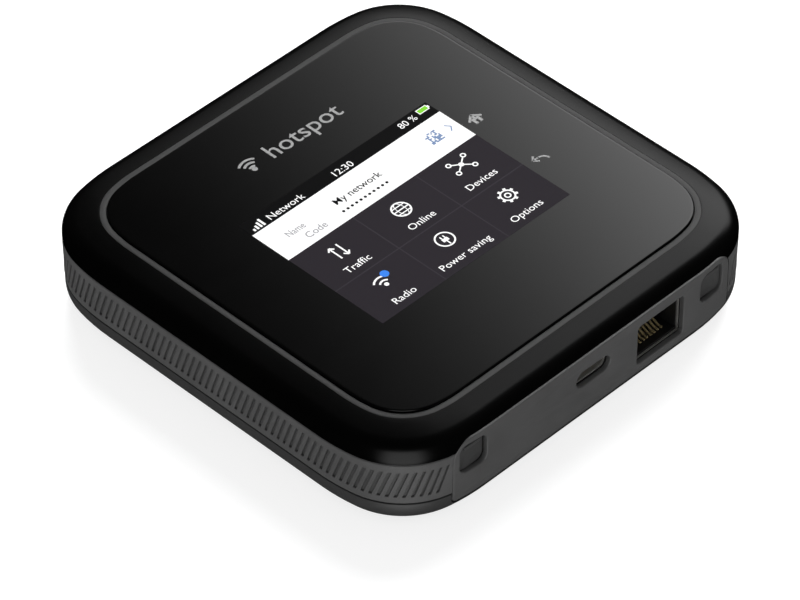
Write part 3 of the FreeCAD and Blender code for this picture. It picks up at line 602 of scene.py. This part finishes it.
grip = {"pitch": 1.65, "land": 0.59, "middle": 10.85, "slant": 19.5, "deep": 0.4, "lip": 0.08, "start": 37.4,
        "end": 36.4, "plainEnds": 2, "plainRound": 8.2, "button": 20.0, "buttonHalf": 6.1, "buttonLow": 9.9,
        "buttonHigh": 13.3, "buttonRound": 1.69,
        "section": [(0.27, 5.8), (0.12, 5.95), (0.05, 7.0), (0.0, 14.4), (0.04, 15.6), (0.34, 15.9),
                    (1.9, 15.9), (1.9, 5.8)]}


def gripTile(slotted, wide):                  # one pitch of the band, laid flat
    bm = bmesh.new()
    edges = layout(bm, grip["section"])
    bmesh.ops.transform(bm, matrix=upended, verts=bm.verts[:])
    made = bmesh.ops.extrude_edge_only(bm, edges=edges)["geom"]
    bmesh.ops.translate(bm, verts=[g for g in made if isinstance(g, bmesh.types.BMVert)], vec=(wide, 0, 0))
    bmesh.ops.recalc_face_normals(bm, faces=bm.faces[:])
    front = max((f for f in bm.faces if f.calc_center_median().y < 0.1), key=lambda f: f.calc_area())
    if front.normal.y > 0:
        bmesh.ops.reverse_faces(bm, faces=bm.faces[:])
    if slotted:
        bmesh.ops.inset_region(bm, faces=[front], thickness=grip["land"], use_boundary=True)
        bmesh.ops.bevel(bm, geom=front.verts[:], offset=0.2, offset_type="OFFSET", segments=3, profile=0.5,
                        affect="VERTICES", material=-1)
        front = min((f for f in bm.faces if len(f.verts) > 10), key=lambda f: f.calc_area())
        bmesh.ops.inset_region(bm, faces=[front], thickness=grip["lip"], depth=-grip["lip"])
        bmesh.ops.inset_region(bm, faces=[front], thickness=0.02, depth=-grip["deep"])
    for v in bm.verts:
        v.co.x += (v.co.z - grip["middle"]) * math.tan(math.radians(grip["slant"]))
    mesh = bpy.data.meshes.new("tile")
    bm.to_mesh(mesh)
    bm.free()
    return mesh


def gripBand():
    around = roundLength(case)
    length = around - grip["start"] - grip["end"]
    count = round(length / grip["pitch"])
    wide = length / count
    tiles = {True: gripTile(True, wide), False: gripTile(False, wide)}
    button = around / 2 - grip["button"]
    bm = bmesh.new()
    for k in range(count):
        s = grip["start"] + (k + 0.5) * wide
        atEnd = k < grip["plainEnds"] or k >= count - grip["plainEnds"]
        plain = atEnd or abs(s - button) < grip["plainRound"]
        before = len(bm.verts)
        bm.from_mesh(tiles[not plain])
        bm.verts.ensure_lookup_table()
        bmesh.ops.translate(bm, verts=bm.verts[before:], vec=(grip["start"] + k * wide, 0, 0))
    bmesh.ops.remove_doubles(bm, verts=bm.verts[:], dist=0.002)
    for v in bm.verts:
        point, inward = along(case, v.co.x)
        v.co = point + inward * v.co.y + Vector((0, 0, v.co.z))
    bmesh.ops.holes_fill(bm, edges=[e for e in bm.edges if e.is_boundary], sides=0)
    bmesh.ops.recalc_face_normals(bm, faces=bm.faces[:])
    band = asObject(bm, "gripBand")
    half, soft = grip["buttonHalf"], grip["buttonRound"]
    loop = roundedLoop(-grip["button"] - half, -grip["button"] + half, grip["buttonLow"], grip["buttonHigh"],
                       soft, soft)
    hole = plate([loop], -4, 4, 0, "buttonHole")
    upright(hole, 0)
    about = Matrix.Rotation(math.radians(180), 3, "Z")
    bmesh.ops.rotate(hole, verts=hole.verts[:], cent=(0, 0, 0), matrix=about)
    bmesh.ops.translate(hole, verts=hole.verts[:], vec=(0, case["half"], 0))
    return carve(band, [panelPlate(0.15, -2.0, 6.0, "gripNotch"), asObject(hole, "buttonHole")])


cover = {"inset": 0.12, "round": 4.4, "top": 5.5, "wall": 1.2, "floor": 1.4, "reach": 15,
         "tongues": (-24, 24), "tongueHalf": 3, "tongueInset": 3.6, "tongueThick": 0.9, "tongueTop": 7.4,
         "ribs": (-20, 4, 28), "ribHalf": 34, "ribTop": 1.7, "nail": (-27, -13), "nailLow": 4.7,
         "nailDeep": 0.8}


def backCover():                              # shallow tray with tongues, ribs and a notch for a finger-nail
    inset, inner, low, top = cover["inset"], cover["inset"] + cover["wall"], cover["floor"], cover["top"]
    steps = [(cover["reach"], 0), (8, 0), (inset, 0, cover["round"], 12), (inset, top, 0.1, 2), (inner, top),
             (inner, 4.6, 0.4, 3), (inner + 1.6, low, 0.5, 3), (cover["reach"], low)]
    body = asObject(carry(steps, case, True, 2.5), "backCover")
    added = bmesh.new()
    back, half = case["half"] - cover["tongueInset"], cover["tongueHalf"]
    for side in range(4):
        about = Matrix.Rotation(math.radians(90 * side), 3, "Z")
        for x in cover["tongues"]:
            if side == 2 and x < 0:           # no room for one beside the socket
                continue
            made = brick(added, (x - half, x + half), (back - cover["tongueThick"], back),
                         (low - 0.5, cover["tongueTop"]), 0.25, segments=2)
            bmesh.ops.rotate(added, verts=made, cent=(0, 0, 0), matrix=about)
    half = cover["ribHalf"]
    for y in cover["ribs"]:
        brick(added, (-half, half), (y - 0.3, y + 0.3), (low - 0.5, cover["ribTop"]), 0.1, segments=2)
    body = carve(body, [asObject(added, "tongues")], "UNION")
    nail = bmesh.new()
    deep = (case["half"] - cover["nailDeep"], case["half"] + 1)
    brick(nail, cover["nail"], deep, (cover["nailLow"], 6.3), 0.3, segments=3)
    return carve(body, [panelPlate(0.3, -3.0, 9.0, "coverNotch"), asObject(nail, "nail")])


place(topFrame(), "case", finishes["frame_coating"], "frame_coating", "top_frame")
place(ring(), "case", finishes["trim_metal"], "trim_metal", "lens_trim")
place(lens(), "case", finishes["lens_glass"], "lens_glass", "cover_lens")
print("top made")
place(portPanel(), "case", finishes["panel_plastic"], "panel_plastic", "port_panel")
place(gripBand(), "case", finishes["grip_plastic"], "grip_plastic", "grip_band")
print("sides made")
place(backCover(), "back_cover", finishes["cover_plastic"], "cover_plastic", "back_cover")
for leftover in ("nest", "well", "frameNotch", "gripNotch", "buttonHole", "coverNotch", "nail", "tongues"):
    bpy.data.objects.remove(bpy.data.objects[leftover])
print("cover made")

# rubber plugs over the antenna sockets
plug = {"across": 6.5, "high": 6.7, "round": 1.6, "front": 1.25, "back": 2.15, "rim": 0.35, "dish": 0.35,
        "dishEdge": 0.8, "lip": (4.4, 0.9, 0.6), "lipUp": 2.3, "postStart": 2.1, "postEnd": 5.3,
        "postRadius": 1.58}


def antennaCover(socket):
    x, z = sockets[socket][:2]
    front = -case["half"] + plug["front"]
    bm = bmesh.new()
    brick(bm, (x - plug["across"] / 2, x + plug["across"] / 2),
          (front, front + plug["back"] - plug["front"]),
          (z - plug["high"] / 2, z + plug["high"] / 2), plug["round"], axis=1, segments=6)
    face = max((f for f in bm.faces if f.normal.y < -0.9), key=lambda f: f.calc_area())
    bmesh.ops.inset_region(bm, faces=[face], thickness=plug["rim"], depth=0)
    bmesh.ops.inset_region(bm, faces=[face], thickness=plug["dishEdge"], depth=-plug["dish"])
    wide, high, deep = plug["lip"]            # what a finger-nail pulls
    up = z + plug["lipUp"]
    brick(bm, (x - wide / 2, x + wide / 2), (front - deep, front + 0.5), (up - high / 2, up + high / 2), 0.2,
          segments=3)
    start, end, radius = plug["postStart"], plug["postEnd"], plug["postRadius"]
    post = bmesh.ops.create_cone(bm, cap_ends=True, segments=32, radius1=radius, radius2=radius,
                                 depth=end - start)["verts"]
    bmesh.ops.rotate(bm, verts=post, cent=(0, 0, 0), matrix=Matrix.Rotation(math.radians(90), 3, "X"))
    bmesh.ops.translate(bm, verts=post, vec=(x, -case["half"] + (start + end) / 2, z))
    return asObject(bm, "antennaPlug")


place(antennaCover("antennaLeft"), "antenna_cover_left", finishes["cap_rubber"], "cap_rubber",
      "antenna_cover_left")
place(antennaCover("antennaRight"), "antenna_cover_right", finishes["cap_rubber"], "cap_rubber",
      "antenna_cover_right")
print("plugs made")

# the lit picture and the printed marks, drawn thin on the lens
screen = {"left": -26.15, "right": 26.05, "low": -21.0, "high": 18.7, "statusLow": 14.7, "headerLow": 4.6,
          "columns": (-8.7, 8.7), "row": -8.2, "divider": 0.12, "top": 21.452, "layer": 0.009,
          "thick": 0.006}
words = [                                     # text, x of its middle, y, width, ink
    ("12:30", 0.0, 16.1, 8.9, "white"), ("Network", -15.7, 16.1, 11.2, "white"),
    ("80 %", 19.2, 16.9, 4.6, "white"), ("Name", -19.1, 9.9, 4.6, "faint"),
    ("Code", -16.2, 7.0, 0, "faint"), ("My network", -2.0, 10.0, 15.1, "black"),
    ("Traffic", -17.5, -5.7, 11.6, "white"), ("Online", 0.15, -5.7, 8.3, "white"),
    ("Devices", 17.0, -5.7, 13.7, "white"), ("Radio", -17.6, -18.4, 6.6, "white"),
    ("Power saving", -0.7, -18.4, 16.0, "white"), ("Options", 16.5, -18.4, 8.9, "white")]
marks = {"bars": (-24.9, 15.2), "battery": (24.0, 17.475), "dots": (-8.6, 7.1), "arrow": (24.4, 9.9),
         "blocks": (17.9, 8.3), "traffic": (-17.5, -0.5), "globe": (-0.3, -0.5), "devices": (17.5, 0.4),
         "waves": (-17.7, -13.9), "plug": (-0.6, -12.7), "gear": (17.3, -12.5), "home": (29.5, 8.0),
         "back": (29.7, -10.6), "radio": (-12.0, 28.3), "name": (2.6, 29.8)}
inkNames = ("white", "black", "faint", "blue", "badge", "green", "dark", "tile", "line", "printed")
inks = {name: bmesh.new() for name in inkNames}


def height(layer):
    return screen["top"] + layer * screen["layer"]


def patch(ink, x0, x1, y0, y1, turn=0.0, layer=1):         # a flat rectangle, turned about its middle
    made = bmesh.ops.create_grid(inks[ink], x_segments=1, y_segments=1, size=0.5)["verts"]
    middle = Matrix.Translation(((x0 + x1) / 2, (y0 + y1) / 2, height(layer)))
    sized = Matrix.Rotation(math.radians(turn), 4, "Z") @ Matrix.Diagonal((x1 - x0, y1 - y0, 1, 1))
    bmesh.ops.transform(inks[ink], verts=made, matrix=middle @ sized)


def stroke(ink, a, b, wide=0.36, layer=2):    # a straight line from a to b
    run = Vector(b) - Vector(a)
    x, y = (Vector(a) + Vector(b)) / 2
    patch(ink, x - run.length / 2, x + run.length / 2, y - wide / 2, y + wide / 2,
          math.degrees(math.atan2(run.y, run.x)), layer)


def dot(ink, x, y, radius, layer=2):
    made = bmesh.ops.create_circle(inks[ink], cap_ends=True, segments=24, radius=radius)["verts"]
    bmesh.ops.translate(inks[ink], verts=made, vec=(x, y, height(layer)))


def arc(ink, x, y, radius, wide=0.36, start=0.0, sweep=360.0, stretch=1.0, layer=2):
    bm = inks[ink]
    up = Vector((0, 0, height(layer)))
    ends = [bm.verts.new(heading(start) * r + up) for r in (radius - wide / 2, radius + wide / 2)]
    edge = bm.edges.new(ends)
    before = set(bm.verts) - set(ends)
    bmesh.ops.spin(bm, geom=[edge], cent=up, axis=(0, 0, 1), angle=math.radians(sweep),
                   steps=max(6, round(sweep / 10)))
    fresh = [v for v in bm.verts if v not in before]
    bmesh.ops.scale(bm, vec=(stretch, 1, 1), verts=fresh)
    bmesh.ops.translate(bm, vec=(x, y, 0), verts=fresh)


def lettering(ink, text, x, y, width, capital=1.75, layer=2, heavy=0.0):
    curve = bpy.data.curves.new("words", "FONT")
    curve.body, curve.size, curve.resolution_u = text, capital / 0.72, 3
    curve.align_x, curve.align_y, curve.offset = "CENTER", "CENTER", heavy
    thing = bpy.data.objects.new("words", curve)
    bpy.context.scene.collection.objects.link(thing)
    thing = finished(thing, "words")
    span = max(v.co.x for v in thing.data.vertices) - min(v.co.x for v in thing.data.vertices)
    squeeze = min(width / span, 1.06) if width else 1
    thing.data.transform(Matrix.Translation((x, y, height(layer))) @ Matrix.Diagonal((squeeze, 1, 1, 1)))
    inks[ink].from_mesh(thing.data)
    bpy.data.objects.remove(thing)


def picture():
    left, right, low, high = screen["left"], screen["right"], screen["low"], screen["high"]
    status, header = screen["statusLow"], screen["headerLow"]
    patch("dark", left, right, status, high)
    patch("white", left, right, header, status)
    patch("tile", left, right, low, header)
    for x in screen["columns"]:
        patch("line", x - screen["divider"], x + screen["divider"], low, header, layer=1.6)
    row, thin = screen["row"], screen["divider"]
    patch("line", left, right, row - thin, row + thin, layer=1.8)
    for text, x, y, width, ink in words:
        lettering(ink, text, x, y, width, heavy=0.0 if ink == "white" else 0.02)
    x, y = marks["bars"]
    for step in range(4):
        patch("white", x + 0.85 * step, x + 0.85 * step + 0.5, y, y + 0.7 + 0.5 * step, layer=2)
    x, y = marks["battery"]
    patch("white", x - 1.4, x + 1.4, y - 0.725, y + 0.725, layer=2)
    patch("green", x - 1.2, x + 1.2, y - 0.525, y + 0.525, layer=3)
    patch("white", x + 1.4, x + 1.75, y - 0.325, y + 0.325, layer=2)
    x, y = marks["dots"]
    for step in range(11):
        dot("black", x + 1.2 * step, y, 0.34)
    x, y = marks["arrow"]
    stroke("blue", (x - 0.9, y + 1.1), (x, y), 0.28)
    stroke("blue", (x, y), (x - 0.9, y - 1.1), 0.28)
    left, low = marks["blocks"]
    blocks = random.Random(7)
    for row in range(9):
        for column in range(9):
            if blocks.random() < 0.55:
                x, y = left + column * 0.37, low + row * 0.37
                patch("blue", x, x + 0.36, y, y + 0.36, layer=2)


def icons():
    x, y = marks["traffic"]                   # one arrow up, one down
    for side, way in ((-0.95, 1), (0.95, -1)):
        stroke("white", (x + side, y - 1.9), (x + side, y + 1.9))
        for lean in (-0.75, 0.75):
            stroke("white", (x + side, y + way * 1.9), (x + side + lean, y + way * 1.05))
    x, y = marks["globe"]
    arc("white", x, y, 2.0)
    arc("white", x, y, 2.0, 0.3, stretch=0.45)
    stroke("white", (x - 2.0, y), (x + 2.0, y), 0.3)
    for up in (-1.0, 1.0):
        stroke("white", (x - 1.7, y + up), (x + 1.7, y + up), 0.26)
    x, y = marks["devices"]                   # four linked to one
    for right, up in ((-1.9, 1.3), (2.0, 1.5), (-2.0, -1.4), (1.8, -1.7)):
        stroke("white", (x, y), (x + right, y + up), 0.3)
        arc("white", x + right * 1.12, y + up * 1.12, 0.5, 0.3)
    dot("white", x, y, 0.62)
    x, y = marks["waves"]
    for radius in (1.4, 2.6):
        arc("white", x, y, radius, 0.42, 42, 96)
    dot("white", x, y + 0.2, 0.5)
    dot("badge", x + 1.8, y + 2.6, 0.95, layer=3)
    x, y = marks["plug"]                      # in a ring
    arc("white", x, y, 2.0)
    patch("white", x - 0.75, x + 0.75, y - 0.6, y + 0.3, layer=2)
    for prong in (-0.4, 0.4):
        stroke("white", (x + prong, y + 0.3), (x + prong, y + 1.1), 0.3)
    stroke("white", (x, y - 0.6), (x, y - 1.7), 0.3)
    x, y = marks["gear"]
    arc("white", x, y, 1.5, 0.36)
    arc("white", x, y, 0.6, 0.32)
    for step in range(8):
        out = heading(22.5 + 45 * step)
        stroke("white", (x + out.x * 1.55, y + out.y * 1.55), (x + out.x * 2.15, y + out.y * 2.15), 0.62)


def printedMarks():
    x, y = marks["home"]                      # a house with a gap for its door
    patch("printed", x - 1.0, x - 0.3, y - 1.3, y + 0.4, layer=0)
    patch("printed", x + 0.3, x + 1.0, y - 1.3, y + 0.4, layer=0)
    patch("printed", x - 0.3, x + 0.3, y - 0.2, y + 1.0, layer=0)
    stroke("printed", (x - 1.7, y), (x + 0.1, y + 1.5), 0.55, 0)
    stroke("printed", (x + 1.7, y), (x - 0.1, y + 1.5), 0.55, 0)
    x, y = marks["back"]                      # an arrow that turns back
    arc("printed", x, y, 1.6, 0.42, 0, 95, layer=0)
    stroke("printed", (x - 1.4, y + 1.65), (x + 0.1, y + 1.65), 0.42, 0)
    stroke("printed", (x - 1.5, y + 1.65), (x - 0.5, y + 2.6), 0.42, 0)
    stroke("printed", (x - 1.5, y + 1.65), (x - 0.5, y + 0.7), 0.42, 0)
    x, y = marks["radio"]                     # a plain radio wave beside a plain word
    for radius in (1.1, 2.2, 3.3):
        arc("printed", x, y, radius, 0.55, 50, 80, layer=0)
    dot("printed", x, y + 0.2, 0.6, 0)
    lettering("printed", "hotspot", *marks["name"], 22.0, 4.3, 0, 0.02)


picture()
icons()
printedMarks()
glowing = {                                   # colour and strength of what is lit
    "white": ((1.0, 1.0, 1.0, 1), 0.92), "black": ((0.004, 0.004, 0.005, 1), 1.0),
    "faint": ((0.3, 0.3, 0.32, 1), 1.0), "blue": ((0.16, 0.24, 0.42, 1), 1.0),
    "badge": ((0.03, 0.2, 0.75, 1), 1.0), "green": ((0.2, 0.6, 0.03, 1), 1.0),
    "dark": ((0.0012, 0.0012, 0.0014, 1), 1.0), "tile": ((0.024, 0.02, 0.026, 1), 0.75),
    "line": ((0.036, 0.032, 0.04, 1), 0.9)}
for ink, bm in inks.items():
    bmesh.ops.solidify(bm, geom=bm.faces[:], thickness=screen["thick"])
    bmesh.ops.recalc_face_normals(bm, faces=bm.faces[:])
    slot = "display_glass" if ink in glowing else "lens_glass"
    finish = lit("lit" + ink.capitalize(), *glowing[ink]) if ink in glowing else printed("printedGrey", 0.14)
    place(asObject(bm, "screen_" + ink), "case", finish, slot)
print("picture made")
